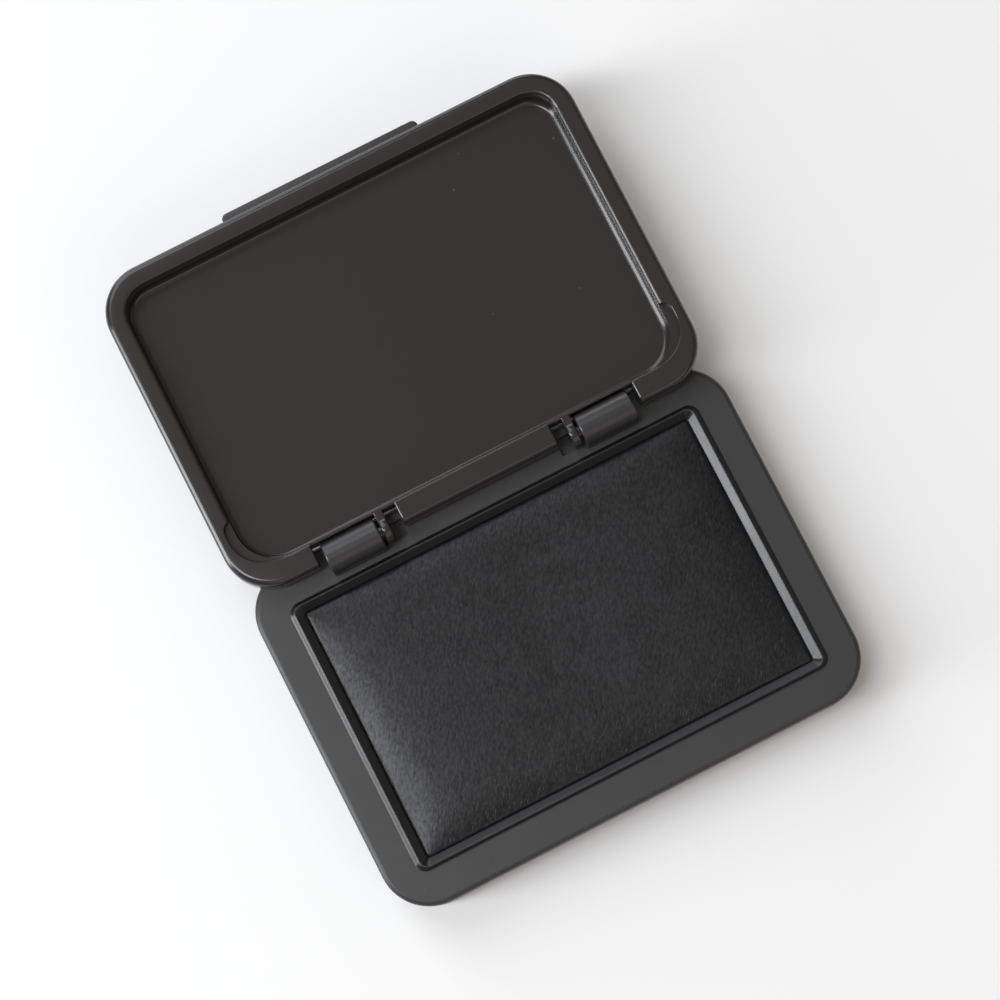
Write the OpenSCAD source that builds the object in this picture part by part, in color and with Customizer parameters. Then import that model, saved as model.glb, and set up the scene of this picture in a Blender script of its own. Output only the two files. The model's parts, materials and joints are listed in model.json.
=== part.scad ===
// Hinged ink pad: a framed ink cushion in a shallow case, with a lid that
// opens by a half turn and then lies level behind the base.
// Millimetres. The origin is the centre of the base's underside, +Y points
// from the base to the opened lid, and +Z is up. The lid is drawn open.

/* [Pad] */
// Width of the inked face, left to right
pad_w = 63; // [50:1:90]
// Depth of the inked face, front to back
pad_d = 40; // [32:1:60]
// How far the cushion stands above the bezel's lower inner edge
crown = 0.3; // [0:0.05:0.4]
// Thickness of the cover cloth
cloth_t = 0.4; // [0.2:0.05:0.6]
// Thickness of the foam layer under the cloth
foam_t = 2.8; // [2:0.1:4]

/* [Bezel] */
// Width of the bezel at the left and right of the pad
bezel_side = 2.15; // [2:0.05:4]
// Width of the bezel in front of and behind the pad
bezel_end = 1.8; // [1.8:0.1:4]
// Height of the bezel above the flange
bezel_rise = 0.6; // [0.4:0.1:1.2]
// Width of the bezel outside its sloping inner edge
bezel_ridge = 0.7; // [0.5:0.05:1]
// Depth of the bezel's sloping inner edge
bezel_slope = 1.1; // [0.5:0.1:1.3]
// Thickness of the bezel at the foot of that slope
bezel_lip = 0.4; // [0.3:0.1:0.8]
// Corner radius of the bezel in plan
bezel_corner_r = 1.8; // [1:0.1:3]
// Height of the bezel's skirt, which closes over the tray
skirt_h = 4; // [2:0.5:5]

/* [Tray] */
// Wall thickness of the ink tray
tray_wall = 0.7; // [0.5:0.1:0.8]
// Floor thickness of the ink tray
tray_floor = 1; // [0.6:0.1:1.4]
// How far the cloth and tray reach under the bezel on each side
tray_tuck = 0.3; // [0.3:0.1:0.4]

/* [Base] */
// Height of the base from its underside to the flange
base_h = 9.5; // [9:0.5:16]
// Flange beside the bezel, left and right
flange_side = 5; // [4:0.1:9]
// Flange in front of the bezel
flange_front = 5.25; // [4:0.05:9]
// Corner radius of the base in plan
base_corner_r = 7.5; // [3:0.5:10]
// Thickness of the base's outer wall
base_wall = 1.6; // [1.2:0.1:2]
// Thickness of the flange
flange_t = 1.6; // [1.2:0.1:2.4]
// Thickness of the wall round the pad's well
well_wall = 1.2; // [0.8:0.1:1.4]
// Thickness of the plate that closes the underside
plate_t = 1.4; // [1:0.1:2]

/* [Lid] */
// Thickness of the lid, which is also the barrels' diameter
lid_t = 5; // [4.6:0.1:8]
// Thickness of the lid's top plate
lid_top_t = 1; // [0.8:0.1:1.4]
// Rim wall of the lid at the front and sides
lid_wall = 3.1; // [1.8:0.1:3.6]
// How far the closed lid stands inside the base at each side
lid_inset_side = 0.35; // [0:0.05:1]
// How far the closed lid stands inside the base at the front
lid_inset_front = 0.6; // [0:0.1:2]
// Outer corner radius of the lid in plan
lid_corner_r = 7.2; // [5:0.1:9]
// Cavity corner radius at the front
cavity_front_r = 4.3; // [2:0.1:6]
// Cavity corner radius at the hinge
cavity_back_r = 6.1; // [3:0.1:8]
// Width of the thumb tab
tab_w = 32.4; // [15:0.1:45]
// How far the thumb tab stands out
tab_out = 1.7; // [1:0.1:3]
// Thickness of the thumb tab
tab_t = 1.8; // [1.2:0.1:2.5]

/* [Corner relief] */
// Rim left outside each corner relief
relief_rim = 1.7; // [1.2:0.1:2]
// Length of the relief, measured from the lid's hinge edge
relief_len = 12; // [10:0.1:16]
// Corner radius of the relief at the hinge
relief_back_r = 5.7; // [3:0.1:7]
// Corner radius of the relief at its other end
relief_front_r = 1.7; // [0.5:0.1:2]
// Depth of the relief below the rim
relief_depth = 1.2; // [1.1:0.1:2.5]

/* [Hinge] */
// Distance between the middles of the two barrels
barrel_pitch = 41.45; // [36:0.05:60]
// Length of each barrel
barrel_len = 8.65; // [6:0.05:12]
// How far the lid's hinge edge reaches past the axis
edge_past_axis = 0.7; // [0:0.1:1]
// Radius of the stub pivots
stub_r = 1.1; // [0.8:0.05:1.4]
// Length of each stub, measured from its ear
stub_len = 3.4; // [2:0.1:5]
// Thickness of the springy ears
ear_t = 1.35; // [1:0.05:2]
// Radius of the ears
ear_r = 2.2; // [1.6:0.1:2.3]
// Free space beside each ear, into which it bends during assembly
ear_flex = 2.05; // [1.5:0.05:4]
// How far the ear's web stands below the top of the ear
web_drop = 0.5; // [0.2:0.1:1]
// Depth of the pocket under each ear
ear_pocket_depth = 1.5; // [0.5:0.1:2]
// How far the pocket reaches in front of the hinge axis
ear_pocket_front = 1.8; // [1.2:0.1:2.2]
// Flange left behind the pocket under each ear
ear_pocket_rim = 1.7; // [1.6:0.1:3]

/* [Clearances] */
// Radial clearance of the stubs in the barrels
bore_clear = 0.05; // [0.02:0.01:0.1]
// Gap under the lid at both ends of its travel
rest_gap = 0.1; // [0.05:0.01:0.3]
// Gap between a barrel and the notch wall behind it
notch_gap = 0.2; // [0.2:0.05:0.8]
// Gap between a barrel's outer end and the notch
barrel_end_gap = 1.2; // [0.3:0.05:2]
// Gap between a barrel's inner end and the ear
ear_gap = 0.4; // [0.1:0.05:0.8]
// Gap between the swinging lid and the bezel
swing_gap = 0.1; // [0.1:0.01:0.5]
// Gap round pieces that drop into one another
fit_gap = 0.1; // [0.05:0.01:0.2]
// Gap between the cushion and the bezel's inner edge
cushion_gap = 0.2; // [0.1:0.05:0.4]

/* [Hidden] */
$fn = 96;

cut = 1;                  // how far a cutter runs past what it cuts
notch_membrane = 0.35;    // wall left between a notch and the lid's cavity
membrane_drop = 1;        // how far that wall stands below the lid's rim
rim_chamfer = 0.25;       // chamfer on the cavity's rim edge at the hinge
relief_setback = 0.2;     // relief's edge behind the cavity wall at the hinge
block_under = 2.4;        // thickness of the hinge blocks below the flange
stub_end_gap = 0.3;       // bore left free beyond the stub's end

case_black = [0.16, 0.16, 0.17];
bezel_black = [0.2, 0.2, 0.21];
tray_grey = [0.3, 0.3, 0.32];
felt_ink = [0.1, 0.1, 0.14];
cloth_ink = [0.13, 0.13, 0.17];

// Barrels are flush with the lid and stand flush with the base's back edge.
barrel_r = lid_t / 2;
barrel_x = barrel_pitch / 2;
barrel_in = barrel_x - barrel_len / 2;
barrel_out = barrel_x + barrel_len / 2;
ear_in = barrel_in - ear_gap - ear_t;
notch_in = ear_in - ear_flex;
notch_out = barrel_out + barrel_end_gap;
notch_back = barrel_r + notch_gap;
bore_r = stub_r + bore_clear;
bore_depth = stub_len - ear_gap + stub_end_gap;

// Inner face of the lid's hinge wall, measured from the axis.
cavity_back = notch_back + notch_membrane;
relief_back = cavity_back - relief_setback;

// The bezel stays clear of the rim edge that swings past it.
rim_above_axis = lid_t / 2;
bezel_below_axis = rest_gap + lid_t / 2 - bezel_rise;
rim_sweep = max(norm([cavity_back, rim_above_axis - rim_chamfer]),
                norm([relief_back, rim_above_axis]));
bezel_to_axis = swing_gap
    + max(cavity_back, sqrt(pow(rim_sweep, 2) - pow(bezel_below_axis, 2)));

frame_w = pad_w + 2 * bezel_side;
frame_d = pad_d + 2 * bezel_end;
tray_in_w = pad_w + 2 * tray_tuck;
tray_in_d = pad_d + 2 * tray_tuck;
tray_out_w = tray_in_w + 2 * tray_wall;
tray_out_d = tray_in_d + 2 * tray_wall;

axis_to_back = barrel_r + rest_gap;
base_w = frame_w + 2 * flange_side;
base_d = flange_front + frame_d + bezel_to_axis + axis_to_back;
axis_y = base_d / 2 - axis_to_back;
axis_z = base_h + rest_gap + lid_t / 2;
pad_y = axis_y - bezel_to_axis - frame_d / 2;

lid_w = base_w - 2 * lid_inset_side;
lid_front = base_d - axis_to_back - lid_inset_front;
lid_d = lid_front + edge_past_axis;
cavity_w = lid_w - 2 * lid_wall;
cavity_d = lid_front - lid_wall - cavity_back;
relief_w = lid_w - 2 * relief_rim;
relief_d = relief_len - edge_past_axis - relief_back;

// Heights above the underside.
bezel_top = base_h + bezel_rise;
lip_top = bezel_top - bezel_slope;
lip_under = lip_top - bezel_lip;
tray_top = lip_under - cloth_t;
cloth_top = lip_top + crown;
foam_top = cloth_top - cloth_t;
felt_top = foam_top - foam_t;
tray_floor_top = plate_t + tray_floor;

// Rectangle with round corners, centred on the origin.
module rounded_rect(w, d, r) {
    square([w - 2 * r, d], center = true);
    square([w, d - 2 * r], center = true);
    for (x = [-1, 1], y = [-1, 1])
        translate([x * (w / 2 - r), y * (d / 2 - r)]) circle(r);
}

// The same with one radius at the front (-Y) and another at the back (+Y).
module two_radius_rect(w, d, front_r, back_r) {
    intersection() {
        translate([0, d / 2]) rounded_rect(w, 2 * d, front_r);
        translate([0, -d / 2]) rounded_rect(w, 2 * d, back_r);
    }
}

// Block with round corners in plan, between two heights.
module rounded_block(w, d, r, low, high) {
    translate([0, 0, low]) linear_extrude(high - low) rounded_rect(w, d, r);
}

// Plain block centred in X and Y, between two heights.
module centred_block(w, d, low, high) {
    translate([-w / 2, -d / 2, low]) cube([w, d, high - low]);
}

// Block between two Y values and two Z values, from one |X| to another,
// on both sides of the middle.
module paired_block(x_in, x_out, y_low, y_high, z_low, z_high) {
    for (side = [-1, 1])
        translate([side > 0 ? x_in : -x_out, y_low, z_low])
            cube([x_out - x_in, y_high - y_low, z_high - z_low]);
}

// Cylinder along X from one |X| to another, on both sides of the middle.
module paired_rod(x_in, x_out, r) {
    for (side = [-1, 1])
        translate([side > 0 ? x_in : -x_out, 0, 0])
            rotate([0, 90, 0]) cylinder(h = x_out - x_in, r = r);
}

// Moves what follows to the hinge axis.
module at_axis() {
    translate([0, axis_y, axis_z]) children();
}

// Moves what follows to the middle of the pad.
module at_pad() {
    translate([0, pad_y, 0]) children();
}

// Upright barrels on the back edge: round above the axis, straight below it,
// with a solid block under the flange that carries them.
module hinge_barrels() {
    at_axis() {
        paired_rod(barrel_in, barrel_out, barrel_r);
        paired_block(barrel_in, barrel_out, -barrel_r, barrel_r, -axis_to_back, 0);
        paired_block(notch_in, notch_out, -bezel_to_axis, axis_to_back - base_wall,
                     -axis_to_back - block_under, -axis_to_back - flange_t);
    }
}

// Blind bores for the stub pivots, open towards the ears.
module barrel_bores() {
    at_axis() paired_rod(barrel_in - cut, barrel_in + bore_depth, bore_r);
}

// Pockets in the flange below the ears and the space beside them.
module ear_pockets() {
    at_axis()
        paired_block(notch_in + fit_gap, barrel_in, -ear_pocket_front,
                     axis_to_back - ear_pocket_rim,
                     -axis_to_back - ear_pocket_depth, -axis_to_back + cut);
}

module base_shell() {
    color(case_black) difference() {
        union() {
            difference() {
                rounded_block(base_w, base_d, base_corner_r, 0, base_h);
                rounded_block(base_w - 2 * base_wall, base_d - 2 * base_wall,
                              base_corner_r - base_wall, -cut, base_h - flange_t);
            }
            at_pad() centred_block(frame_w + 2 * (fit_gap + well_wall),
                                   frame_d + 2 * (fit_gap + well_wall), plate_t, base_h);
            hinge_barrels();
        }
        at_pad() rounded_block(frame_w + 2 * fit_gap, frame_d + 2 * fit_gap,
                               bezel_corner_r + fit_gap, -cut, base_h + cut);
        barrel_bores();
        ear_pockets();
    }
}

module bottom_plate() {
    color(case_black)
        rounded_block(base_w - 2 * (base_wall + fit_gap), base_d - 2 * (base_wall + fit_gap),
                      base_corner_r - base_wall - fit_gap, 0, plate_t);
}

module ink_tray() {
    color(tray_grey) at_pad() difference() {
        rounded_block(tray_out_w, tray_out_d, tray_wall, plate_t, tray_top);
        centred_block(tray_in_w, tray_in_d, tray_floor_top, tray_top + cut);
    }
}

module felt_reservoir() {
    color(felt_ink) at_pad()
        centred_block(tray_in_w - 2 * fit_gap, tray_in_d - 2 * fit_gap, tray_floor_top, felt_top);
}

module foam_cushion() {
    color(felt_ink) at_pad()
        centred_block(pad_w - 2 * (cushion_gap + cloth_t), pad_d - 2 * (cushion_gap + cloth_t),
                      felt_top, foam_top);
}

// Cloth drawn over the foam, with its edge clamped between tray and bezel.
module pad_cloth() {
    color(cloth_ink) at_pad() difference() {
        union() {
            centred_block(tray_out_w, tray_out_d, tray_top, lip_under);
            centred_block(pad_w - 2 * cushion_gap, pad_d - 2 * cushion_gap, tray_top, cloth_top);
        }
        centred_block(pad_w - 2 * (cushion_gap + cloth_t), pad_d - 2 * (cushion_gap + cloth_t),
                      felt_top, foam_top);
    }
}

// Wedge-sided prism along Y that is narrow at the slope's foot and wide at
// the bezel's top, for an opening of width w and a slope run long in plan.
module slope_prism(w, run, length) {
    top_w = w + 2 * run * (1 + cut / bezel_slope);
    rotate([90, 0, 0]) linear_extrude(length, center = true)
        polygon([[-w / 2, lip_under - cut], [w / 2, lip_under - cut], [w / 2, lip_top],
                 [top_w / 2, bezel_top + cut], [-top_w / 2, bezel_top + cut], [-w / 2, lip_top]]);
}

module pad_frame() {
    long = 2 * max(frame_w, frame_d);
    color(bezel_black) at_pad() difference() {
        rounded_block(frame_w, frame_d, bezel_corner_r, lip_under - skirt_h, bezel_top);
        centred_block(tray_out_w + 2 * fit_gap, tray_out_d + 2 * fit_gap,
                      lip_under - skirt_h - cut, lip_under);
        intersection() {
            slope_prism(pad_w, bezel_side - bezel_ridge, long);
            rotate(90) slope_prism(pad_d, bezel_end - bezel_ridge, long);
        }
    }
}

// Notches in the lid's hinge wall, which the barrels stand in.
module hinge_notches() {
    paired_block(notch_in, notch_out, -edge_past_axis - cut, notch_back,
                 -lid_t / 2 - cut, lid_t / 2 + cut);
    paired_block(notch_in, notch_out, notch_back - cut, cavity_back + cut,
                 lid_t / 2 - membrane_drop, lid_t / 2 + cut);
}

// Ears with their stub pivots, each held by a web from the notch's wall.
module hinge_ears() {
    paired_rod(ear_in, ear_in + ear_t, ear_r);
    paired_block(ear_in, ear_in + ear_t, 0, notch_back, -ear_r, ear_r - web_drop);
    paired_rod(ear_in + ear_t, ear_in + ear_t + stub_len, stub_r);
}

// Shallow corner pockets that clear the bezel's back corners when closed.
module corner_reliefs() {
    middle = relief_back + relief_d / 2;
    intersection() {
        translate([0, middle, lid_t / 2 - relief_depth]) linear_extrude(relief_depth + cut)
            rotate(180) two_radius_rect(relief_w, relief_d, relief_front_r, relief_back_r);
        paired_block(cavity_w / 2 - cavity_back_r, lid_w, relief_back, relief_back + relief_d,
                     0, lid_t);
    }
}

// Chamfer along the cavity's rim edge on the hinge side.
module cavity_chamfer() {
    half = relief_w / 2 - relief_back_r;
    rim = lid_t / 2;
    rotate([90, 0, 90]) linear_extrude(2 * half, center = true)
        polygon([[cavity_back - rim_chamfer - cut, rim + cut],
                 [cavity_back + cut, rim - rim_chamfer - cut],
                 [cavity_back + cut, rim + cut]]);
}

module lid_shell() {
    lid_y = lid_d / 2 - edge_past_axis;
    color(case_black) at_axis() {
        difference() {
            union() {
                translate([0, lid_y, 0])
                    rounded_block(lid_w, lid_d, lid_corner_r, -lid_t / 2, lid_t / 2);
                translate([0, lid_front, 0])
                    rounded_block(tab_w, 2 * tab_out, tab_out / 2, -lid_t / 2, -lid_t / 2 + tab_t);
            }
            translate([0, cavity_back + cavity_d / 2, -lid_t / 2 + lid_top_t])
                linear_extrude(lid_t)
                    rotate(180) two_radius_rect(cavity_w, cavity_d, cavity_front_r, cavity_back_r);
            corner_reliefs();
            cavity_chamfer();
            hinge_notches();
        }
        hinge_ears();
    }
}

base_shell();
bottom_plate();
ink_tray();
felt_reservoir();
foam_cushion();
pad_cloth();
pad_frame();
lid_shell();
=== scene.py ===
import json
import math

import bmesh
import bpy
from mathutils import Matrix, Vector, noise


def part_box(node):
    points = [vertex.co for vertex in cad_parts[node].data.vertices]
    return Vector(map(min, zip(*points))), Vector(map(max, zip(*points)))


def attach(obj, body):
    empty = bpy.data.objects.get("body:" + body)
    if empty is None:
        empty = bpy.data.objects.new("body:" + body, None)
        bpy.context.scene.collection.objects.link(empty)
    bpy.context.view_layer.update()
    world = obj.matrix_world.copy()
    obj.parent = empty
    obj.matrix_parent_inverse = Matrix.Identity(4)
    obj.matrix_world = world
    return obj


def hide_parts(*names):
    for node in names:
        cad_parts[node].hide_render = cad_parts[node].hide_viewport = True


# A hinged ink pad, opened flat. Metres, with the origin under the middle of
# the base, +Y towards the opened lid and +Z up. Each section below makes one
# real piece, in the order in which the pad is put together.

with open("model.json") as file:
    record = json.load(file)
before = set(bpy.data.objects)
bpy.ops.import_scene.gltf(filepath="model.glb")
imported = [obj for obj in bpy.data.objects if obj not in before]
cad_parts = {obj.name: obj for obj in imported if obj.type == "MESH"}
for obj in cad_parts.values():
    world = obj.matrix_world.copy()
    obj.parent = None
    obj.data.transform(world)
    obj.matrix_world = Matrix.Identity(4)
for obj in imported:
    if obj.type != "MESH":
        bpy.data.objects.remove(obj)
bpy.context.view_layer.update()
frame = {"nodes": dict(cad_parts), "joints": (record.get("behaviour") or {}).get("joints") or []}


# Base shell: a black moulding with a flange round the pad's well and two hinge
# barrels on its back edge. It is injection-moulded with a fine spark texture on
# the flange, smooth barrels, and outer edges rounded for the hand.
base_low, base_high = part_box("base_shell")
bezel_low, bezel_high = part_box("pad_frame")
plate_low, plate_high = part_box("bottom_plate")
lid_low, lid_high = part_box("lid_shell")
hinge_y, hinge_z = frame["joints"][0]["pos_m"][1:]
fit_gap = 0.0001
bezel_seam = 0.00002
flange_z = lid_low.z - fit_gap
base_corner_r = 0.0075
base_wall = 0.0016
base_rounding = 0.0008
foot_rounding = 0.0004
foot_inner_rounding = 0.0002
back_edge_rounding = 0.00025
flange_t = 0.0016
well_wall = 0.0012
barrel_foot = 0.0003        # height above the flange where the smooth barrels begin
bezel_corner_r = 0.0018
FULL_ROUND = 0.001      # rounding that a bevel weight of 1 stands for
CORNER_STEPS = 14
SAME_PLACE = 1e-7       # coordinates that differ by less count as equal


def widen(low, high, by):
    """A plan box, given by two corners, made larger by the same amount on each side."""
    return Vector((low[0] - by, low[1] - by)), Vector((high[0] + by, high[1] + by))


def ring(bm, plan, z, corner_r, back_r=None, rounding=0.0):
    """Adds a level rounded rectangle as a closed loop of edges, and returns its corners in order.

    back_r is the radius of the two corners at the higher Y. rounding is the
    radius that the finished piece has along this loop.
    """
    weights = bm.edges.layers.float.get("bevel_weight_edge")
    if weights is None:
        weights = bm.edges.layers.float.new("bevel_weight_edge")
    low, high = plan
    middle = (low[1] + high[1]) / 2
    made = bmesh.ops.create_grid(bm, x_segments=1, y_segments=1, size=0.5)["verts"]
    bmesh.ops.scale(bm, vec=(high[0] - low[0], high[1] - low[1], 1), verts=made)
    bmesh.ops.translate(bm, vec=((low[0] + high[0]) / 2, middle, z), verts=made)
    front = [v for v in made if v.co.y < middle]
    back = [v for v in made if v.co.y > middle]
    for corners, radius in ((front, corner_r), (back, back_r or corner_r)):
        rounded = bmesh.ops.bevel(bm, geom=corners, offset=radius, segments=CORNER_STEPS,
                                  profile=0.5, affect="VERTICES", material=-1)
    face = rounded["verts"][0].link_faces[0]
    for edge in face.edges:
        edge[weights] = rounding / FULL_ROUND
    corners = list(face.verts)
    first = max(corners, key=lambda v: (round(v.co.x, 7), -v.co.y))
    start = corners.index(first)
    bmesh.ops.delete(bm, geom=[face], context="FACES_ONLY")
    return corners[start:] + corners[:start]


def round_side(bm, corners, y, rounding):
    """Gives the straight stretch of a ring that lies at one Y a rounding of its own."""
    weights = bm.edges.layers.float["bevel_weight_edge"]
    for first, second in zip(corners, corners[1:] + corners[:1]):
        if abs(first.co.y - y) < SAME_PLACE and abs(second.co.y - y) < SAME_PLACE:
            bm.edges.get((first, second))[weights] = rounding / FULL_ROUND


def join_rings(bm, rings, closed):
    """Joins each ring to the next. A closed row runs on to its first ring; an open one is capped."""
    if closed:
        rings = rings + rings[:1]
    else:
        bm.faces.new(rings[0])
        bm.faces.new(rings[-1])
    for lower, upper in zip(rings, rings[1:]):
        for i in range(len(lower)):
            bm.faces.new((lower[i - 1], lower[i], upper[i], upper[i - 1]))
    bmesh.ops.recalc_face_normals(bm, faces=bm.faces)


def make_piece(bm, name):
    """Turns a bmesh into an object and applies the rounding given to its edges."""
    mesh = bpy.data.meshes.new(name)
    bm.to_mesh(mesh)
    bm.free()
    piece = bpy.data.objects.new(name, mesh)
    bpy.context.scene.collection.objects.link(piece)
    rounds = piece.modifiers.new("edge_rounding", "BEVEL")
    rounds.limit_method = "WEIGHT"
    rounds.width = FULL_ROUND
    rounds.segments = 5
    rounds.use_clamp_overlap = False
    apply_modifiers(piece)
    return piece


def apply_modifiers(piece):
    """Replaces a piece's mesh with its mesh after all its modifiers."""
    graph = bpy.context.evaluated_depsgraph_get()
    graph.update()
    shaped = bpy.data.meshes.new_from_object(piece.evaluated_get(graph))
    piece.modifiers.clear()
    rough = piece.data
    piece.data = shaped
    bpy.data.meshes.remove(rough)
    shaped.name = piece.name


def combine(piece, tool, operation):
    """Cuts the tool from the piece, or joins the two into one closed shell."""
    cut = piece.modifiers.new("cut", "BOOLEAN")
    cut.operation = operation
    cut.solver = "EXACT"
    cut.object = tool
    apply_modifiers(piece)
    bpy.data.objects.remove(tool)


def block(bm, low, high):
    """Adds a plain box between two corners."""
    size = Vector(high) - Vector(low)
    place = Matrix.Translation((Vector(low) + Vector(high)) / 2) @ Matrix.Diagonal((*size, 1))
    return bmesh.ops.create_cube(bm, size=1, matrix=place)["verts"]


def rod(bm, x_low, x_high, radius, steps=64):
    """Adds a cylinder along the hinge's axis between two X values."""
    turn = Matrix.Rotation(math.pi / 2, 4, "Y")
    place = Matrix.Translation(((x_low + x_high) / 2, hinge_y, hinge_z)) @ turn
    return bmesh.ops.create_cone(bm, cap_ends=True, segments=steps, radius1=radius,
                                 radius2=radius, depth=x_high - x_low, matrix=place)["verts"]


def span(side, first, second):
    """Two distances from the middle, on one side of it, as a rising pair of X values."""
    return sorted((side * first, side * second))


def finish_piece(piece, body, material, slot, *nodes):
    """Shades a piece, gives it its finish, and lets it ride on its body."""
    mesh = piece.data
    for polygon in mesh.polygons:
        polygon.use_smooth = True
    mesh.set_sharp_from_angle(angle=math.radians(35))
    flats = piece.modifiers.new("flat_faces", "WEIGHTED_NORMAL")
    flats.keep_sharp = True
    flats.weight = 100
    mesh.materials.clear()
    mesh.materials.append(material)
    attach(piece, body)
    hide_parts(*nodes)


def add_node(tree, kind, inputs, **settings):
    """Adds a shader node. Each input is given a value or another node's output."""
    made = tree.nodes.new(kind)
    for name, value in settings.items():
        setattr(made, name, value)
    for key, value in inputs.items():
        if isinstance(value, bpy.types.NodeSocket):
            tree.links.new(value, made.inputs[key])
        else:
            made.inputs[key].default_value = value
    return made


def mix_colours(tree, amount, first, second):
    """Mixes two colours and returns the mixed one."""
    return add_node(tree, "ShaderNodeMix", {0: amount, 6: first, 7: second}, data_type="RGBA").outputs[2]


def spread(tree, value, low, high, to_low=0.0, to_high=1.0):
    """Stretches a range of values over another one, and holds it there."""
    return add_node(tree, "ShaderNodeMapRange", {"Value": value, "From Min": low, "From Max": high,
                                                 "To Min": to_low, "To Max": to_high}).outputs[0]


def start_group(name, inputs, outputs):
    """Starts a shader node group; returns its tree, the outputs of its start and its end node."""
    tree = bpy.data.node_groups.new(name, "ShaderNodeTree")
    for label, kind in inputs:
        tree.interface.new_socket(label, in_out="INPUT", socket_type=kind)
    for label in outputs:
        tree.interface.new_socket(label, in_out="OUTPUT", socket_type="NodeSocketFloat")
    return tree, tree.nodes.new("NodeGroupInput").outputs, tree.nodes.new("NodeGroupOutput")


def make_mould_grain():
    """The spark-eroded grain of a mould, and the faint clouding that its filling leaves."""
    inputs = (("Place", "NodeSocketVector"), ("Grains per metre", "NodeSocketFloat"))
    tree, given, end = start_group("mould_grain", inputs, ("Grain", "Clouding"))
    place = given["Place"]
    grain = add_node(tree, "ShaderNodeTexNoise",
                     {"Vector": place, "Scale": given["Grains per metre"], "Detail": 2.0})
    clouding = add_node(tree, "ShaderNodeTexNoise",
                        {"Vector": place, "Scale": CLOUDS_PER_METRE, "Detail": 2.0})
    tree.links.new(grain.outputs[0], end.inputs["Grain"])
    tree.links.new(spread(tree, clouding.outputs[0], 0.3, 0.7), end.inputs["Clouding"])
    return tree


def make_settled_dust():
    """A few pale specks of dust: one in some cells of a pattern, and none in the others."""
    inputs = (("Place", "NodeSocketVector"), ("Cells per metre", "NodeSocketFloat"))
    tree, given, end = start_group("settled_dust", inputs, ("Dust",))
    cells = add_node(tree, "ShaderNodeTexVoronoi",
                     {"Vector": given["Place"], "Scale": given["Cells per metre"]})
    speck = spread(tree, cells.outputs["Distance"], SPECK_EDGE, SPECK_CORE)
    pick = add_node(tree, "ShaderNodeSeparateColor", {"Color": cells.outputs["Color"]}).outputs[0]
    chosen = spread(tree, pick, FIRST_DUSTY, FULLY_DUSTY)
    dust = add_node(tree, "ShaderNodeMath", {0: speck, 1: chosen}, operation="MULTIPLY")
    tree.links.new(dust.outputs[0], end.inputs["Dust"])
    return tree


CLOUDS_PER_METRE = 160.0
DUST_CELLS_PER_METRE = 300.0
SPECK_EDGE = 0.05       # radii of a speck, as shares of its cell
SPECK_CORE = 0.025
FIRST_DUSTY = 0.80      # share of the cells that have no speck at all
FULLY_DUSTY = 0.95      # and share below which the speck is fainter
DUST_COLOUR = (0.30, 0.30, 0.31, 1)
PLASTIC_IOR = 1.55
TINT_SPREAD = 0.07      # how far the colour of a moulding varies either way
GLOSS_SPREAD = 0.02     # and its roughness
SMOOTH_BLEND = 0.0004   # height over which the grain fades out
mould_grain = make_mould_grain()
settled_dust = make_settled_dust()


def moulded_plastic(name, colour, roughness, grain_depth=0.000002, grains=4200.0, dust=0.5,
                    smooth_above=None, smooth_roughness=None):
    """Coloured plastic as it comes from the mould, with its grain ending at the height smooth_above."""
    made = bpy.data.materials.new(name)
    made.use_nodes = True
    tree = made.node_tree
    shader = tree.nodes["Principled BSDF"]
    shader.inputs["IOR"].default_value = PLASTIC_IOR
    place = tree.nodes.new("ShaderNodeTexCoord").outputs["Object"]
    grain = add_node(tree, "ShaderNodeGroup", {}, node_tree=mould_grain)
    tree.links.new(place, grain.inputs["Place"])
    grain.inputs["Grains per metre"].default_value = grains
    specks = add_node(tree, "ShaderNodeGroup", {}, node_tree=settled_dust)
    tree.links.new(place, specks.inputs["Place"])
    specks.inputs["Cells per metre"].default_value = DUST_CELLS_PER_METRE
    clouding = grain.outputs["Clouding"]
    thin = (*[c * (1 - TINT_SPREAD) for c in colour], 1)
    full = (*[c * (1 + TINT_SPREAD) for c in colour], 1)
    clouded = mix_colours(tree, clouding, thin, full)
    speckled = spread(tree, specks.outputs["Dust"], 0.0, 1.0, 0.0, dust)
    tree.links.new(mix_colours(tree, speckled, clouded, DUST_COLOUR), shader.inputs["Base Color"])
    rough = spread(tree, clouding, 0.0, 1.0, roughness + GLOSS_SPREAD, roughness - GLOSS_SPREAD)
    depth = grain.outputs["Grain"]
    if smooth_above is not None:
        height = add_node(tree, "ShaderNodeSeparateXYZ", {"Vector": place}).outputs["Z"]
        smooth = spread(tree, height, smooth_above, smooth_above + SMOOTH_BLEND)
        rough = add_node(tree, "ShaderNodeMix", {0: smooth, 2: rough, 3: smooth_roughness}).outputs[0]
        grained = spread(tree, smooth, 0.0, 1.0, 1.0, 0.0)
        depth = add_node(tree, "ShaderNodeMath", {0: depth, 1: grained}, operation="MULTIPLY").outputs[0]
    tree.links.new(rough, shader.inputs["Roughness"])
    bump = add_node(tree, "ShaderNodeBump", {"Height": depth, "Distance": grain_depth})
    tree.links.new(bump.outputs[0], shader.inputs["Normal"])
    return made


base_plastic = moulded_plastic("base_plastic", (0.0245, 0.0243, 0.0249), 0.43,
                               smooth_above=flange_z + barrel_foot, smooth_roughness=0.32)

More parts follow.
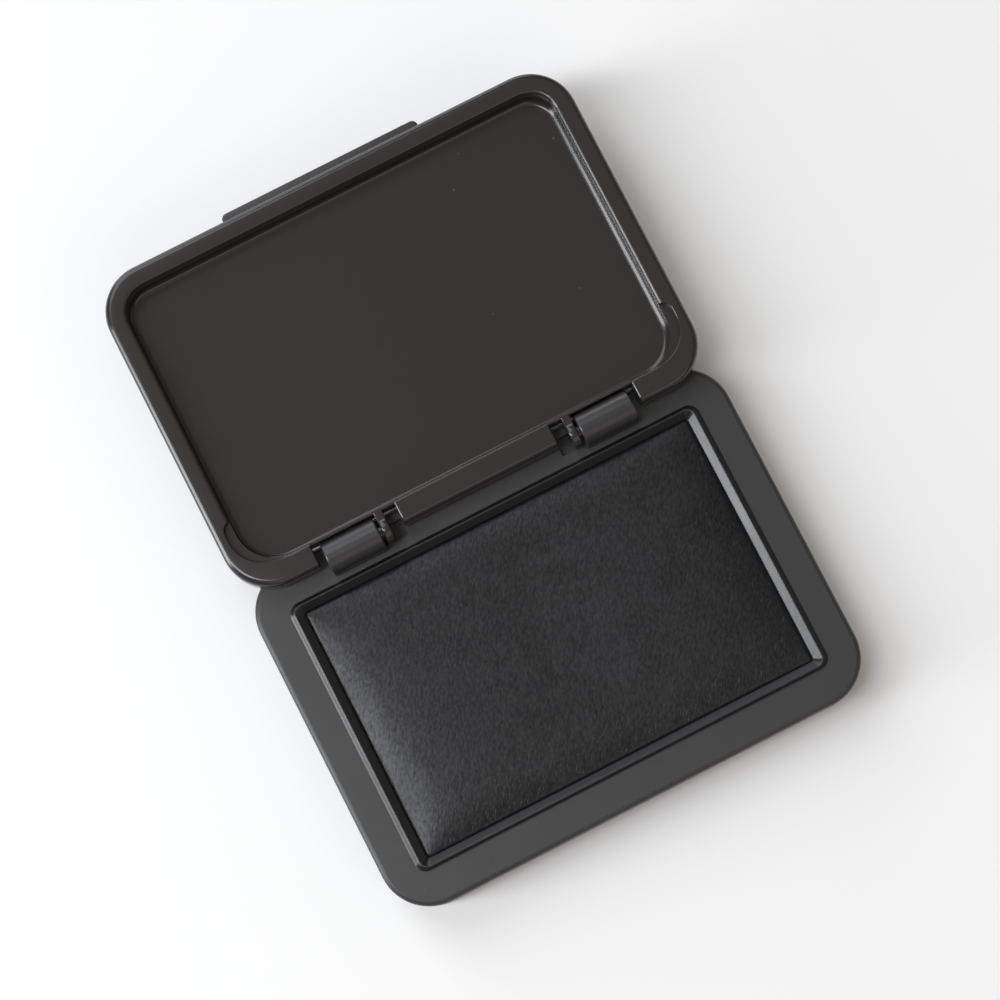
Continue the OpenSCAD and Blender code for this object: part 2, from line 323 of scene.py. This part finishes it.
base_plan = (base_low, Vector((base_high.x, base_high.y)))
well_plan = widen(bezel_low, bezel_high, bezel_seam)
well_outside = widen(*well_plan, well_wall)
bm = bmesh.new()
flange_edge = ring(bm, base_plan, flange_z, base_corner_r, rounding=base_rounding)
round_side(bm, flange_edge, base_high.y, back_edge_rounding)
join_rings(bm, [
    ring(bm, base_plan, 0, base_corner_r, rounding=foot_rounding),
    flange_edge,
    ring(bm, well_plan, flange_z, bezel_corner_r + bezel_seam),
    ring(bm, well_plan, plate_high.z, bezel_corner_r + bezel_seam),
    ring(bm, well_outside, plate_high.z, fit_gap),
    ring(bm, well_outside, flange_z - flange_t, fit_gap),
    ring(bm, widen(*base_plan, -base_wall), flange_z - flange_t, base_corner_r - base_wall),
    ring(bm, widen(*base_plan, -base_wall), 0, base_corner_r - base_wall, rounding=foot_inner_rounding),
], closed=True)
base_shell = make_piece(bm, "base_shell_moulding")

barrel_r = (lid_high.z - lid_low.z) / 2
barrel_in = 0.0164
barrel_out = 0.02505
barrel_end_rounding = 0.0003
notch_in = 0.0126
notch_out = 0.02625
block_under = 0.0008
block_front = 0.0006        # from the bezel's back edge
block_back = 0.001          # from the hinge's axis
bore_r = 0.00115
bore_depth = 0.0033
pocket_depth = 0.0015
pocket_front = 0.0018       # both from the hinge's axis
pocket_back = 0.0009
cut_past = 0.001            # how far a cutter runs past what it cuts
for side in (-1, 1):
    bm = bmesh.new()
    upright = Matrix.Rotation(math.pi / 2, 4, "Y")
    place = Matrix.Translation((side * barrel_in, hinge_y, hinge_z)) @ upright
    bmesh.ops.create_circle(bm, cap_ends=True, segments=96, radius=barrel_r, matrix=place)
    everything = bm.verts[:] + bm.edges[:] + bm.faces[:]
    bmesh.ops.bisect_plane(bm, geom=everything, plane_co=(0, hinge_y, hinge_z),
                           plane_no=(0, 0, -1), clear_outer=True, dist=SAME_PLACE)
    flat_side = [e for e in bm.edges if all(abs(v.co.z - hinge_z) < SAME_PLACE for v in e.verts)]
    legs = bmesh.ops.extrude_edge_only(bm, edges=flat_side)["geom"]
    bmesh.ops.translate(bm, vec=(0, 0, flange_z - flange_t / 2 - hinge_z),
                        verts=[v for v in legs if isinstance(v, bmesh.types.BMVert)])
    bmesh.ops.dissolve_edges(bm, edges=flat_side, use_verts=False)
    grown = bmesh.ops.extrude_face_region(bm, geom=bm.faces[:])["geom"]
    bmesh.ops.translate(bm, vec=(side * (barrel_out - barrel_in), 0, 0),
                        verts=[v for v in grown if isinstance(v, bmesh.types.BMVert)])
    bmesh.ops.recalc_face_normals(bm, faces=bm.faces)
    ends = [f for f in bm.faces if abs(f.normal.x) > 0.9]
    bmesh.ops.bevel(bm, geom=[e for f in ends for e in f.edges], offset=barrel_end_rounding,
                    segments=4, profile=0.5, affect="EDGES", material=-1)
    combine(base_shell, make_piece(bm, "barrel"), "UNION")

    bm = bmesh.new()
    low_x, high_x = span(side, notch_in, notch_out)
    block(bm, (low_x, bezel_high.y + block_front, flange_z - flange_t - block_under),
          (high_x, hinge_y + block_back, flange_z - flange_t / 2))
    combine(base_shell, make_piece(bm, "hinge_block"), "UNION")

    bm = bmesh.new()
    low_x, high_x = span(side, notch_in + fit_gap, barrel_in)
    block(bm, (low_x, hinge_y - pocket_front, flange_z - pocket_depth),
          (high_x, hinge_y + pocket_back, flange_z + cut_past))
    combine(base_shell, make_piece(bm, "ear_pocket"), "DIFFERENCE")

    bm = bmesh.new()
    rod(bm, *span(side, barrel_in - cut_past, barrel_in + bore_depth), bore_r)
    combine(base_shell, make_piece(bm, "bore"), "DIFFERENCE")
finish_piece(base_shell, "base", base_plastic, "case_plastic", "base_shell")


# Ink tray: a plain grey moulding that drops into the well and holds the ink
# layers. It is hidden once the bezel is pressed on, so its moulded form stays
# as built and only takes its own finish.
tray_plastic = moulded_plastic("tray_plastic", (0.16, 0.16, 0.168), 0.45, dust=0.0)
for tray_slot in frame["nodes"]["ink_tray"].material_slots:
    tray_slot.material = tray_plastic


# Felt reservoir: a die-cut block of pressed wool felt, soaked with ink, that
# lies loose on the floor of the tray. Its cut edges are slightly furry.
felt_low, felt_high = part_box("felt_reservoir")
felt_corner_r = 0.0006
felt_foot_rounding = 0.0003
felt_top_rounding = 0.0005
SOAKED_PATCHES = 250.0      # per metre
SOAKED_GLOSS = 0.2          # how much less rough the wettest patches are


def soaked_fibre(name, colour, wet_colour, roughness, fibres_per_metre, depth):
    """Felt or foam full of ink: matt fibres with darker, wetter patches between them."""
    made = bpy.data.materials.new(name)
    made.use_nodes = True
    tree = made.node_tree
    shader = tree.nodes["Principled BSDF"]
    shader.inputs["Sheen Weight"].default_value = 0.1
    place = tree.nodes.new("ShaderNodeTexCoord").outputs["Object"]
    fibres = add_node(tree, "ShaderNodeTexNoise",
                      {"Vector": place, "Scale": fibres_per_metre, "Detail": 4.0, "Distortion": 1.5})
    patches = add_node(tree, "ShaderNodeTexNoise",
                       {"Vector": place, "Scale": SOAKED_PATCHES, "Detail": 2.0})
    wet = spread(tree, patches.outputs[0], 0.35, 0.65)
    tree.links.new(mix_colours(tree, wet, (*colour, 1), (*wet_colour, 1)), shader.inputs["Base Color"])
    rough = spread(tree, wet, 0.0, 1.0, roughness, roughness - SOAKED_GLOSS)
    tree.links.new(rough, shader.inputs["Roughness"])
    bump = add_node(tree, "ShaderNodeBump", {"Height": fibres.outputs[0], "Distance": depth})
    tree.links.new(bump.outputs[0], shader.inputs["Normal"])
    return made


bm = bmesh.new()
join_rings(bm, [
    ring(bm, (felt_low, felt_high), felt_low.z, felt_corner_r, rounding=felt_foot_rounding),
    ring(bm, (felt_low, felt_high), felt_high.z, felt_corner_r, rounding=felt_top_rounding),
], closed=False)
felt = make_piece(bm, "pressed_felt")
ink_felt = soaked_fibre("ink_felt", (0.016, 0.016, 0.022), (0.006, 0.006, 0.01), 0.9, 2600.0, 0.00006)
finish_piece(felt, "base", ink_felt, "ink_felt", "felt_reservoir")


# Foam cushion: an open-cell foam block that lies over the felt. It is cut from
# a sheet. The stretched cover rounds its upper edges over and leaves it crowned.
foam_low, foam_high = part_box("foam_cushion")
foam_corner_r = 0.0012
foam_foot_rounding = 0.0006
foam_top_rounding = 0.001
foam_shoulder = 0.0035
foam_shoulder_drop = 0.0004
foam_crown = 0.013
foam_swell = 0.00036
bm = bmesh.new()
join_rings(bm, [
    ring(bm, (foam_low, foam_high), foam_low.z, foam_corner_r, rounding=foam_foot_rounding),
    ring(bm, (foam_low, foam_high), foam_high.z - foam_shoulder_drop, foam_corner_r,
         rounding=foam_top_rounding),
    ring(bm, widen(foam_low, foam_high, -foam_shoulder), foam_high.z, foam_corner_r,
         rounding=foam_top_rounding),
    ring(bm, widen(foam_low, foam_high, -foam_crown), foam_high.z + foam_swell, foam_corner_r,
         rounding=foam_top_rounding),
], closed=False)
foam = make_piece(bm, "foam_block")
ink_foam = soaked_fibre("ink_foam", (0.014, 0.014, 0.019), (0.005, 0.005, 0.009), 0.75, 3800.0, 0.0001)
finish_piece(foam, "base", ink_foam, "ink_foam", "foam_cushion")


# Cover cloth: a thin, black, suede-like cloth stretched over the foam and
# trapped between the tray's rim and the bezel's lip. The foam swells it, so it
# is flat in the middle and rolls down to the lip along all four sides.
pad_w = 0.063
pad_d = 0.040
bezel_slope = 0.0011
lip_t = 0.0004
cloth_low, cloth_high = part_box("pad_cloth")
middle_y = (bezel_low.y + bezel_high.y) / 2
lip_top = bezel_high.z - bezel_slope
cloth_t = 0.00034
cloth_gap = 0.00003
cloth_edge_z = lip_top - 0.0001
cell = 0.0007
CLOTH_SCALE = 100.0     # the cloth solver works on sheets of a few metres
EDGE_TOLERANCE = 1e-4   # at that scale
SWELL_FRAMES = 20
most_rise = 0.0011
swell_pressure = 1.0
nap_unevenness = 0.000006
uneven_patches = 320.0      # per metre
edge_slack = 0.00005
sheet_w = pad_w - 2 * cloth_gap
sheet_d = pad_d - 2 * cloth_gap


def stretch_cloth(sheet, pressure):
    """Swells a flat sheet that is held all round its edge, and leaves the swollen mesh in it."""
    held = sheet.vertex_groups.new(name="held_edge")
    edge_x = sheet_w / 2 * CLOTH_SCALE - EDGE_TOLERANCE
    edge_y = sheet_d / 2 * CLOTH_SCALE - EDGE_TOLERANCE
    border = [v.index for v in sheet.data.vertices if abs(v.co.x) > edge_x or abs(v.co.y) > edge_y]
    held.add(border, 1.0, "REPLACE")
    cloth = sheet.modifiers.new("swell", "CLOTH")
    cloth.settings.quality = 6
    cloth.settings.mass = 0.3
    cloth.settings.tension_stiffness = 15.0
    cloth.settings.compression_stiffness = 15.0
    cloth.settings.shear_stiffness = 8.0
    cloth.settings.bending_stiffness = 0.5
    cloth.settings.use_pressure = True
    cloth.settings.uniform_pressure_force = pressure
    cloth.settings.vertex_group_mass = held.name
    cloth.settings.effector_weights.gravity = 0.0
    cloth.point_cache.frame_start = 1
    cloth.point_cache.frame_end = SWELL_FRAMES
    for step in range(1, SWELL_FRAMES + 1):
        bpy.context.scene.frame_set(step)
    apply_modifiers(sheet)
    sheet.vertex_groups.clear()
    bpy.context.scene.frame_set(1)


def grow_border(bm, border, reach_x, reach_y, z):
    """Extrudes a closed border to a plan size and a height, and returns the new border."""
    half_x = max(abs(v.co.x) for e in border for v in e.verts)
    half_y = max(abs(v.co.y - middle_y) for e in border for v in e.verts)
    grown = bmesh.ops.extrude_edge_only(bm, edges=border)["geom"]
    verts = {g for g in grown if isinstance(g, bmesh.types.BMVert)}
    for vert in verts:
        vert.co.x *= reach_x / half_x
        vert.co.y = middle_y + (vert.co.y - middle_y) * reach_y / half_y
        vert.co.z = z
    return [e for e in bm.edges if e.verts[0] in verts and e.verts[1] in verts]


bm = bmesh.new()
flat_sheet = bmesh.ops.create_grid(bm, x_segments=round(pad_w / cell), y_segments=round(pad_d / cell),
                                   size=0.5)["verts"]
bmesh.ops.scale(bm, vec=(sheet_w * CLOTH_SCALE, sheet_d * CLOTH_SCALE, 1), verts=flat_sheet)
cover = make_piece(bm, "cover_cloth")
stretch_cloth(cover, swell_pressure)

bm = bmesh.new()
bm.from_mesh(cover.data)
for vert in bm.verts:
    x, y, swell = vert.co / CLOTH_SCALE
    held_down = swell / math.hypot(1, swell / most_rise)
    patch = noise.noise(Vector((x, y, 0)) * uneven_patches)
    unevenness = nap_unevenness * patch * held_down / most_rise
    vert.co = (x, y + middle_y, cloth_edge_z + held_down + unevenness)
top = bm.verts[:] + bm.edges[:] + bm.faces[:]
border = [e for e in bm.edges if e.is_boundary]
copied = bmesh.ops.duplicate(bm, geom=top)["geom"]
for vert in copied:
    if isinstance(vert, bmesh.types.BMVert):
        vert.co.x *= 1 - cloth_t / (sheet_w / 2)
        vert.co.y = middle_y + (vert.co.y - middle_y) * (1 - cloth_t / (sheet_d / 2))
        vert.co.z -= cloth_t
half_w, half_d = sheet_w / 2, sheet_d / 2
tuck_x = cloth_high.x - edge_slack
tuck_y = cloth_high.y - middle_y - edge_slack
tuck_top = lip_top - lip_t - edge_slack / 2
tuck_foot = cloth_low.z + edge_slack / 2
for reach_x, reach_y, z in (
    (half_w, half_d, tuck_top),
    (tuck_x, tuck_y, tuck_top),
    (tuck_x, tuck_y, tuck_foot),
    (half_w - cloth_t, half_d - cloth_t, tuck_foot),
    (half_w - cloth_t, half_d - cloth_t, cloth_edge_z - cloth_t),
):
    border = grow_border(bm, border, reach_x, reach_y, z)
bmesh.ops.remove_doubles(bm, verts=bm.verts[:], dist=1e-6)
bmesh.ops.recalc_face_normals(bm, faces=bm.faces[:])
bm.to_mesh(cover.data)
bm.free()
fine = cover.modifiers.new("fine", "SUBSURF")
fine.levels = 1
fine.render_levels = 1
apply_modifiers(cover)


NAP_ANGLE = math.radians(56)
NAP_SIZE = (0.0007, 0.00036, 0.0005)
STROKE_SIZE = (0.0013, 0.00013, 0.002)
NAP_DEPTH = 0.00003
STROKE_RISE = 0.8           # height of a stroke against the nap's
WET_PATCHES = 170.0         # per metre
SUEDE_IOR = 1.42
LOW_SHINE = 0.3
HIGH_SHINE = 0.7
DRIER_ROUGHNESS = 0.37
WETTER_ROUGHNESS = 0.33
DRIER_BLACK = (0.0085, 0.0083, 0.0100, 1)
WETTER_BLACK = (0.0055, 0.0054, 0.0068, 1)
NAP_GREY = (0.014, 0.0137, 0.0165, 1)
STROKE_GREY = (0.05, 0.049, 0.055, 1)
NAP_GREYING = 0.5           # share of the grey where the nap, or a stroke, is highest
STROKE_GREYING = 0.6


def inked_suede():
    """Short, dense fibres that lean one way, black with ink and glossier where they are wettest."""
    made = bpy.data.materials.new("inked_suede")
    made.use_nodes = True
    tree = made.node_tree
    shader = tree.nodes["Principled BSDF"]
    shader.inputs["IOR"].default_value = SUEDE_IOR
    place = tree.nodes.new("ShaderNodeTexCoord").outputs["Object"]
    lean = (0, 0, NAP_ANGLE)
    nap_place = add_node(tree, "ShaderNodeMapping",
                         {"Vector": place, "Rotation": lean, "Scale": NAP_SIZE}, vector_type="TEXTURE")
    nap = add_node(tree, "ShaderNodeTexNoise",
                   {"Vector": nap_place.outputs[0], "Scale": 1.0, "Detail": 3.0}).outputs[0]
    shine = spread(tree, nap, 0.25, 0.75, LOW_SHINE, HIGH_SHINE)
    tree.links.new(shine, shader.inputs["Specular IOR Level"])
    stroke_place = add_node(tree, "ShaderNodeMapping",
                            {"Vector": place, "Rotation": lean, "Scale": STROKE_SIZE},
                            vector_type="TEXTURE")
    strokes = add_node(tree, "ShaderNodeTexNoise",
                       {"Vector": stroke_place.outputs[0], "Scale": 1.0, "Detail": 0.0}).outputs[0]
    raised = spread(tree, strokes, 0.76, 0.84)
    patches = add_node(tree, "ShaderNodeTexNoise", {"Vector": place, "Scale": WET_PATCHES, "Detail": 3.0})
    wet = spread(tree, patches.outputs[0], 0.35, 0.65)
    inked = mix_colours(tree, wet, DRIER_BLACK, WETTER_BLACK)
    nap_grey = spread(tree, nap, 0.35, 0.75, 0.0, NAP_GREYING)
    stroke_grey = spread(tree, raised, 0.0, 1.0, 0.0, STROKE_GREYING)
    napped = mix_colours(tree, nap_grey, inked, NAP_GREY)
    stroked = mix_colours(tree, stroke_grey, napped, STROKE_GREY)
    tree.links.new(stroked, shader.inputs["Base Color"])
    rough = spread(tree, wet, 0.0, 1.0, DRIER_ROUGHNESS, WETTER_ROUGHNESS)
    tree.links.new(rough, shader.inputs["Roughness"])
    rise = add_node(tree, "ShaderNodeMath", {0: raised, 1: STROKE_RISE}, operation="MULTIPLY").outputs[0]
    pile = add_node(tree, "ShaderNodeMath", {0: nap, 1: rise}, operation="ADD").outputs[0]
    bump = add_node(tree, "ShaderNodeBump", {"Height": pile, "Distance": NAP_DEPTH})
    tree.links.new(bump.outputs[0], shader.inputs["Normal"])
    return made


finish_piece(cover, "base", inked_suede(), "inked_cloth", "pad_cloth")


# Bezel: a glossier black frame pressed over the tray. A low rounded ridge runs
# round it, its inner face slopes down to a thin lip that holds the cloth, and
# its skirt reaches down inside the well.
bezel_plastic = moulded_plastic("bezel_plastic", (0.0075, 0.0075, 0.0078), 0.33,
                                grains=7000.0, grain_depth=0.000001, dust=0.25)
ridge_x = 0.0008
ridge_y = 0.00055
ridge_r = 0.0004
bezel_foot_w = 0.00016
bezel_foot_rise = 0.00003
bezel_foot_rounding = 0.00014
opening_corner_r = 0.0004
lip_rounding = 0.00025
tray_corner_r = 0.0007
opening = (Vector((-pad_w / 2, middle_y - pad_d / 2)), Vector((pad_w / 2, middle_y + pad_d / 2)))
tray_low, tray_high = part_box("ink_tray")
ridge_base_z = flange_z + bezel_seam
side_slope = (bezel_high.x - pad_w / 2) - ridge_x
ridge_turn = (math.atan2(bezel_high.z - ridge_base_z, ridge_x) + math.atan2(bezel_slope, side_slope)) / 2
crest_z = bezel_high.z + ridge_r * (1 / math.cos(ridge_turn) - 1)
crest = (Vector((bezel_low.x + ridge_x, bezel_low.y + ridge_y)),
         Vector((bezel_high.x - ridge_x, bezel_high.y - ridge_y)))
tray_outside = widen(tray_low, tray_high, fit_gap)
bm = bmesh.new()
join_rings(bm, [
    ring(bm, (bezel_low, bezel_high), bezel_low.z, bezel_corner_r),
    ring(bm, (bezel_low, bezel_high), ridge_base_z, bezel_corner_r),
    ring(bm, widen(bezel_low, bezel_high, -bezel_foot_w), ridge_base_z + bezel_foot_rise,
         bezel_corner_r - bezel_foot_w, rounding=bezel_foot_rounding),
    ring(bm, crest, crest_z, bezel_corner_r - ridge_y, rounding=ridge_r * math.tan(ridge_turn)),
    ring(bm, opening, lip_top, opening_corner_r, rounding=lip_rounding),
    ring(bm, opening, lip_top - lip_t, opening_corner_r),
    ring(bm, tray_outside, lip_top - lip_t, tray_corner_r),
    ring(bm, tray_outside, bezel_low.z, tray_corner_r),
], closed=True)
bezel = make_piece(bm, "pad_bezel")
finish_piece(bezel, "base", bezel_plastic, "bezel_plastic", "pad_frame")


# Bottom plate: a flat cover that snaps in under the base and closes it. Four
# shallow round marks are left by the pins that push it out of its mould.
plate_corner_r = base_corner_r - base_wall - fit_gap
plate_rounding = 0.0002
ejector_r = 0.003
ejector_depth = 0.00012
ejector_x = 0.026
ejector_y = 0.016
bm = bmesh.new()
join_rings(bm, [
    ring(bm, (plate_low, plate_high), 0, plate_corner_r, rounding=plate_rounding),
    ring(bm, (plate_low, plate_high), plate_high.z, plate_corner_r),
], closed=False)
bottom = make_piece(bm, "bottom_cover")
for x in (-ejector_x, ejector_x):
    for y in (-ejector_y, ejector_y):
        bm = bmesh.new()
        bmesh.ops.create_cone(bm, cap_ends=True, segments=64, radius1=ejector_r, radius2=ejector_r,
                              depth=2 * ejector_depth, matrix=Matrix.Translation((x, y, 0)))
        combine(bottom, make_piece(bm, "ejector_mark"), "DIFFERENCE")
finish_piece(bottom, "base", base_plastic, "case_plastic", "bottom_plate")


# Lid: a thin tray-shaped moulding of smoother plastic, seen from inside when
# the pad is open. Its hinge wall is notched for the barrels, and in each notch
# a flexible ear carries the stub that snaps into the barrel's bore.
lid_plastic = moulded_plastic("lid_plastic", (0.0205, 0.0183, 0.0176), 0.2,
                              grains=6000.0, grain_depth=0.0000006, dust=0.3)
edge_past_axis = 0.0007
lid_wall = 0.0031
lid_top_t = 0.001
lid_corner_r = 0.0072
lid_rounding = 0.001
cavity_back = 0.00305
cavity_back_r = 0.0061
cavity_front_r = 0.0043
mouth_rounding = 0.00055
hinge_edge_rounding = 0.00015
floor_fillet = 0.0009
notch_back = 0.0027
membrane_drop = 0.001
notch_edge_rounding = 0.0003
tab_out = 0.0017
tab_w = 0.0324
tab_t = 0.0018
tab_corner_r = 0.0009
tab_foot_rounding = 0.0004
tab_top_rounding = 0.0003
tab_slope = 0.07
lid_front = lid_high.y - tab_out
lid_plan = (Vector((lid_low.x, hinge_y - edge_past_axis)), Vector((lid_high.x, lid_front)))
cavity = (Vector((lid_low.x + lid_wall, hinge_y + cavity_back)),
          Vector((lid_high.x - lid_wall, lid_front - lid_wall)))
bm = bmesh.new()
mouth = ring(bm, cavity, lid_high.z, cavity_back_r, cavity_front_r, rounding=mouth_rounding)
round_side(bm, mouth, cavity[0].y, hinge_edge_rounding)
join_rings(bm, [
    ring(bm, lid_plan, lid_low.z, lid_corner_r, rounding=lid_rounding),
    ring(bm, lid_plan, lid_high.z, lid_corner_r, rounding=lid_rounding),
    mouth,
    ring(bm, cavity, lid_low.z + lid_top_t, cavity_back_r, cavity_front_r, rounding=floor_fillet),
], closed=False)
lid = make_piece(bm, "lid_moulding")

bm = bmesh.new()
tab_plan = (Vector((-tab_w / 2, lid_front - tab_out)), Vector((tab_w / 2, lid_high.y)))
tab_top = ring(bm, tab_plan, lid_low.z + tab_t, tab_corner_r, rounding=tab_top_rounding)
for vert in tab_top:
    vert.co.z -= tab_slope * (vert.co.y - lid_front)
tab_foot = ring(bm, tab_plan, lid_low.z, tab_corner_r, rounding=tab_foot_rounding)
join_rings(bm, [tab_foot, tab_top], closed=False)
combine(lid, make_piece(bm, "tab"), "UNION")

relief_rim = 0.0017
relief_depth = 0.0012
relief_edge_rounding = 0.00015
relief_flare = 0.0005
relief_back_r = 0.0057
relief_front_r = 0.0017
relief_start = hinge_y + 0.003
relief_end = hinge_y + 0.0113
relief_inner_x = 0.0291
overlap = 0.00001
for side in (-1, 1):
    bm = bmesh.new()
    relief = (Vector((lid_low.x + relief_rim, relief_start)),
              Vector((lid_high.x - relief_rim, relief_end)))
    flared = widen(*relief, relief_flare)
    flared_back_r = relief_back_r + relief_flare
    flared_front_r = relief_front_r + relief_flare
    join_rings(bm, [
        ring(bm, relief, lid_high.z - relief_depth, relief_back_r, relief_front_r),
        ring(bm, relief, lid_high.z + overlap / 2, relief_back_r, relief_front_r,
             rounding=relief_edge_rounding),
        ring(bm, flared, lid_high.z + overlap, flared_back_r, flared_front_r),
        ring(bm, flared, lid_high.z + cut_past, flared_back_r, flared_front_r),
    ], closed=False)
    cutter = make_piece(bm, "relief")
    bm = bmesh.new()
    low_x, high_x = span(side, relief_inner_x, lid_high.x + cut_past)
    block(bm, (low_x, hinge_y, hinge_z), (high_x, relief_end + cut_past, lid_high.z + 2 * cut_past))
    combine(cutter, make_piece(bm, "relief_side"), "INTERSECT")
    combine(lid, cutter, "DIFFERENCE")


def round_cut(piece, low, high, radius, steps=3, least_turn=math.radians(50)):
    """Rounds the sharp outer edges that lie inside a box."""
    bm = bmesh.new()
    bm.from_mesh(piece.data)
    sharp = [e for e in bm.edges if e.is_manifold and e.is_convex and e.calc_face_angle() > least_turn
             and all(low[i] <= v.co[i] <= high[i] for v in e.verts for i in range(3))]
    bmesh.ops.bevel(bm, geom=sharp, offset=radius, segments=steps, profile=0.5,
                    affect="EDGES", material=-1, clamp_overlap=False)
    bm.to_mesh(piece.data)
    bm.free()


ear_in = 0.01465
ear_t = 0.00135
ear_r = 0.0022
web_drop = 0.0005
stub_r = 0.0011
stub_len = 0.0034
ear_rim_rounding = 0.0003
web_rounding = 0.00015
tiny = 0.00002
for side in (-1, 1):
    low_x, high_x = span(side, notch_in, notch_out)
    bm = bmesh.new()
    block(bm, (low_x, hinge_y + notch_back - tiny, lid_high.z - membrane_drop),
          (high_x, hinge_y + cavity_back + cut_past, lid_high.z + cut_past))
    combine(lid, make_piece(bm, "lowered_wall"), "DIFFERENCE")
    bm = bmesh.new()
    block(bm, (low_x, lid_plan[0].y - cut_past, lid_low.z - cut_past),
          (high_x, hinge_y + notch_back, lid_high.z + cut_past))
    combine(lid, make_piece(bm, "notch"), "DIFFERENCE")
    for wall_x in (low_x, high_x):
        round_cut(lid, (wall_x - tiny, lid_plan[0].y - tiny, lid_low.z - tiny),
                  (wall_x + tiny, hinge_y + notch_back - tiny, lid_high.z + tiny), notch_edge_rounding)

    low_x, high_x = span(side, ear_in, ear_in + ear_t)
    bm = bmesh.new()
    rod(bm, low_x, high_x, ear_r)
    rims = [e for e in bm.edges if e.calc_face_angle() > 1]
    bmesh.ops.bevel(bm, geom=rims, offset=ear_rim_rounding, segments=3, profile=0.5,
                    affect="EDGES", material=-1)
    ear = make_piece(bm, "ear")
    bm = bmesh.new()
    block(bm, (low_x + tiny, hinge_y, hinge_z - ear_r + 5 * tiny),
          (high_x - tiny, hinge_y + notch_back + 5 * tiny, hinge_z + ear_r - web_drop))
    long_edges = [e for e in bm.edges if abs((e.verts[0].co - e.verts[1].co).y) > tiny]
    bmesh.ops.bevel(bm, geom=long_edges, offset=web_rounding, segments=3, profile=0.5,
                    affect="EDGES", material=-1)
    combine(ear, make_piece(bm, "web"), "UNION")
    bm = bmesh.new()
    rod(bm, *span(side, ear_in + ear_t / 2, ear_in + ear_t + stub_len), stub_r, steps=48)
    combine(ear, make_piece(bm, "stub"), "UNION")
    combine(lid, ear, "UNION")
finish_piece(lid, "lid", lid_plastic, "case_plastic", "lid_shell")


# Floor, lights and camera: a pale matt table in a room. Cool daylight comes from
# tall windows on the left and less of it from behind; the room's walls and
# ceiling throw back a little warmer light. The camera looks almost straight down.
floor_size = 3.0
bm = bmesh.new()
bmesh.ops.create_grid(bm, x_segments=1, y_segments=1, size=floor_size)
mesh = bpy.data.meshes.new("floor")
bm.to_mesh(mesh)
bm.free()
floor = bpy.data.objects.new("floor", mesh)
bpy.context.scene.collection.objects.link(floor)
table = bpy.data.materials.new("table_top")
table.use_nodes = True
paint = table.node_tree.nodes["Principled BSDF"]
paint.inputs["Base Color"].default_value = (0.88, 0.88, 0.88, 1)
paint.inputs["Roughness"].default_value = 0.9
mesh.materials.append(table)

world = bpy.data.worlds.new("room")
bpy.context.scene.world = world
world.use_nodes = True
room_light = world.node_tree.nodes["Background"]
room_light.inputs["Color"].default_value = (1, 1, 1, 1)
room_light.inputs["Strength"].default_value = 0.1


def lamp(name, towards, distance, width, height, radiance, colour):
    """Hangs an area lamp that looks at the pad from one direction."""
    data = bpy.data.lights.new(name, "AREA")
    data.shape = "RECTANGLE"
    data.size = width
    data.size_y = height
    data.energy = radiance * math.pi * width * height
    data.color = colour
    made = bpy.data.objects.new(name, data)
    bpy.context.scene.collection.objects.link(made)
    direction = Vector(towards).normalized()
    made.location = direction * distance
    made.rotation_mode = "QUATERNION"
    made.rotation_quaternion = direction.to_track_quat("Z", "Y")
    return made


COOL = (0.94, 0.965, 1.0)
WARM = (1.0, 0.91, 0.82)
lamp("window_low", (-0.97, 0.136, 0.199), 1.2, 0.36, 0.37, 12.5, COOL)
lamp("window", (-0.763, 0.148, 0.629), 1.2, 0.3, 0.734, 9.5, COOL)
lamp("window_top", (-0.369, 0.0, 0.927), 1.2, 0.23, 0.47, 10.5, COOL)
lamp("back_window", (-0.222, 0.684, 0.695), 1.4, 0.7, 1.13, 2.5, COOL)
lamp("back_wall", (0.0, 1.0, 0.194), 1.5, 1.4, 0.53, 2.4, COOL)
lamp("ceiling", (0.0, 0.01, 1.0), 1.3, 2.4, 2.4, 0.26, WARM)
lamp("room", (0.1, -0.75, 0.66), 1.3, 1.5, 0.8, 0.7, WARM)
lamp("room_side", (1.0, -0.1, 0.3), 1.4, 1.6, 0.65, 0.25, WARM)

camera_data = bpy.data.cameras.new("camera")
camera_data.lens = 108
camera_data.sensor_width = 36
camera = bpy.data.objects.new("camera", camera_data)
bpy.context.scene.collection.objects.link(camera)
camera.location = (-0.01853, -0.03305, 0.44634)
camera.rotation_euler = (0.1312, 0.0158, -0.4721)
bpy.context.scene.camera = camera
bpy.context.scene.view_settings.view_transform = "Standard"
